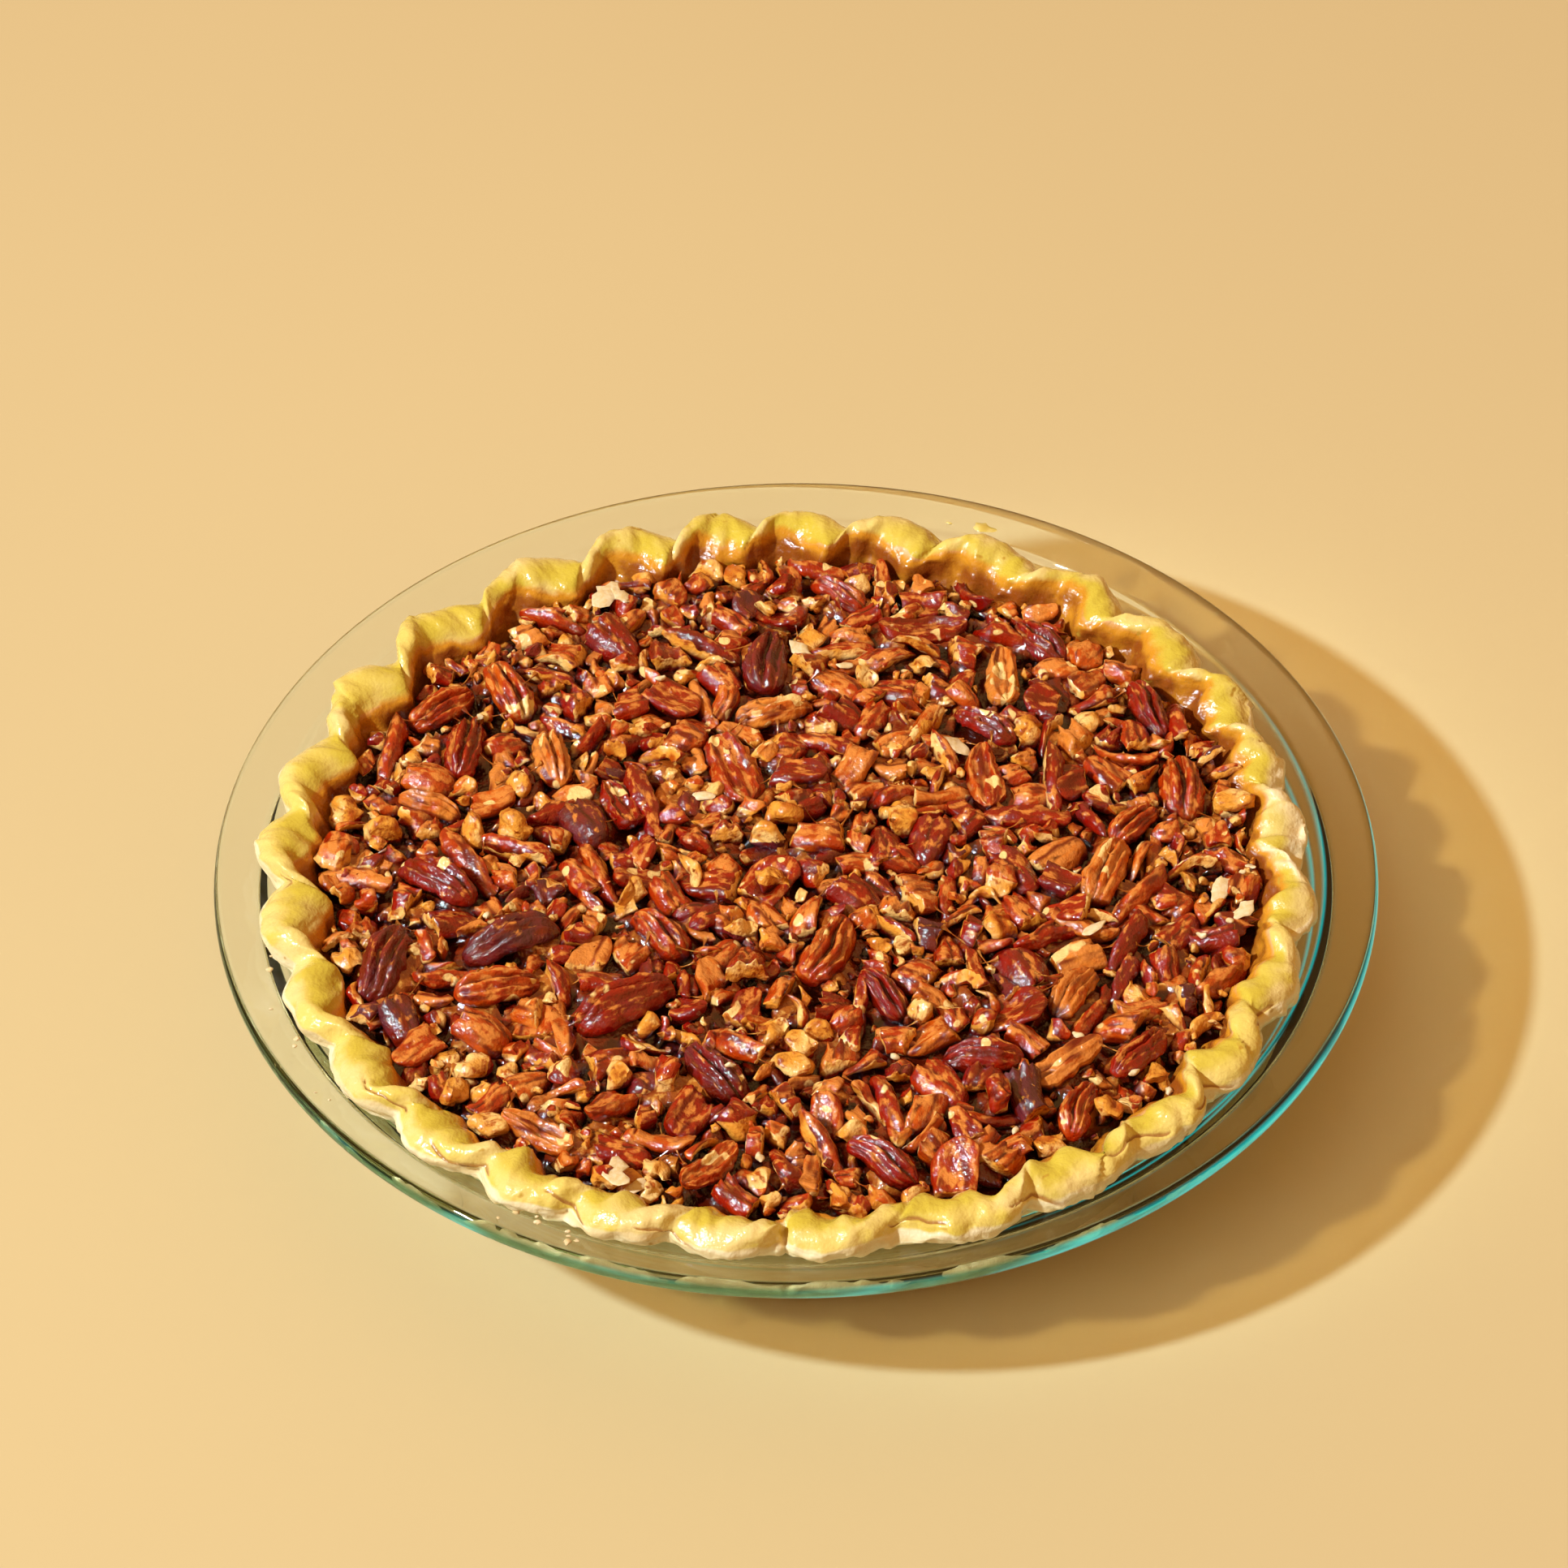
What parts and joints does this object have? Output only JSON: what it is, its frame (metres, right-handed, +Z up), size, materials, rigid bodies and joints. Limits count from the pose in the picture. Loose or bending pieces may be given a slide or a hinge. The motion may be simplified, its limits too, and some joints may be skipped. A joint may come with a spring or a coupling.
{
  "type": "pecan pie",
  "caption": "Round open pecan pie in a clear glass pie dish: fluted golden pastry edge, dark custard filling, and a close layer of chopped pecans and pecan halves.",
  "frame": {"origin": "middle of the dish's underside, on the surface it stands on", "axes": "+Z up through the middle of the dish; the pie is seen from -Y, with +X on its right"},
  "size_m": [0.252, 0.252, 0.0442],
  "materials": {
    "clear_glass": "clear pressed glass with a blue-green tint at its edges",
    "baked_pastry": "egg-washed shortcrust pastry, golden yellow and softly glossy on top, pale and flaky outside",
    "dark_custard": "dark brown set syrup custard, glossy, with small bubbles",
    "chopped_pecan": "chopped roasted pecans glazed with syrup, tan broken faces and red-brown skins",
    "pecan_brown": "orange-brown pecan skin glazed with syrup",
    "pecan_red": "dark red pecan skin glazed with syrup",
    "pecan_purple": "purple-brown pecan skin glazed with syrup",
    "pecan_pale": "pecan with its skin partly off, cream to tan nut flesh, thin syrup glaze"
  },
  "bodies": {
    "root": {"chopped_pecans": "chopped_pecan", "crust": "baked_pastry", "custard_filling": "dark_custard", "glass_dish": "clear_glass", "pecan_brown_01": "pecan_brown", "pecan_brown_02": "pecan_brown", "pecan_brown_03": "pecan_brown", "pecan_brown_04": "pecan_brown", "pecan_brown_05": "pecan_brown", "pecan_brown_06": "pecan_brown", "pecan_brown_07": "pecan_brown", "pecan_brown_08": "pecan_brown", "pecan_brown_09": "pecan_brown", "pecan_brown_10": "pecan_brown", "pecan_brown_11": "pecan_brown", "pecan_brown_12": "pecan_brown", "pecan_pale_01": "pecan_pale", "pecan_pale_02": "pecan_pale", "pecan_pale_03": "pecan_pale", "pecan_pale_04": "pecan_pale", "pecan_pale_05": "pecan_pale", "pecan_pale_06": "pecan_pale", "pecan_pale_07": "pecan_pale", "pecan_pale_08": "pecan_pale", "pecan_purple_01": "pecan_purple", "pecan_purple_02": "pecan_purple", "pecan_purple_03": "pecan_purple", "pecan_purple_04": "pecan_purple", "pecan_red_01": "pecan_red", "pecan_red_02": "pecan_red", "pecan_red_03": "pecan_red", "pecan_red_04": "pecan_red", "pecan_red_05": "pecan_red", "pecan_red_06": "pecan_red", "pecan_red_07": "pecan_red", "pecan_red_08": "pecan_red", "pecan_red_09": "pecan_red", "pecan_red_10": "pecan_red", "pecan_red_11": "pecan_red", "pecan_red_12": "pecan_red"}
  },
  "joints": []
}
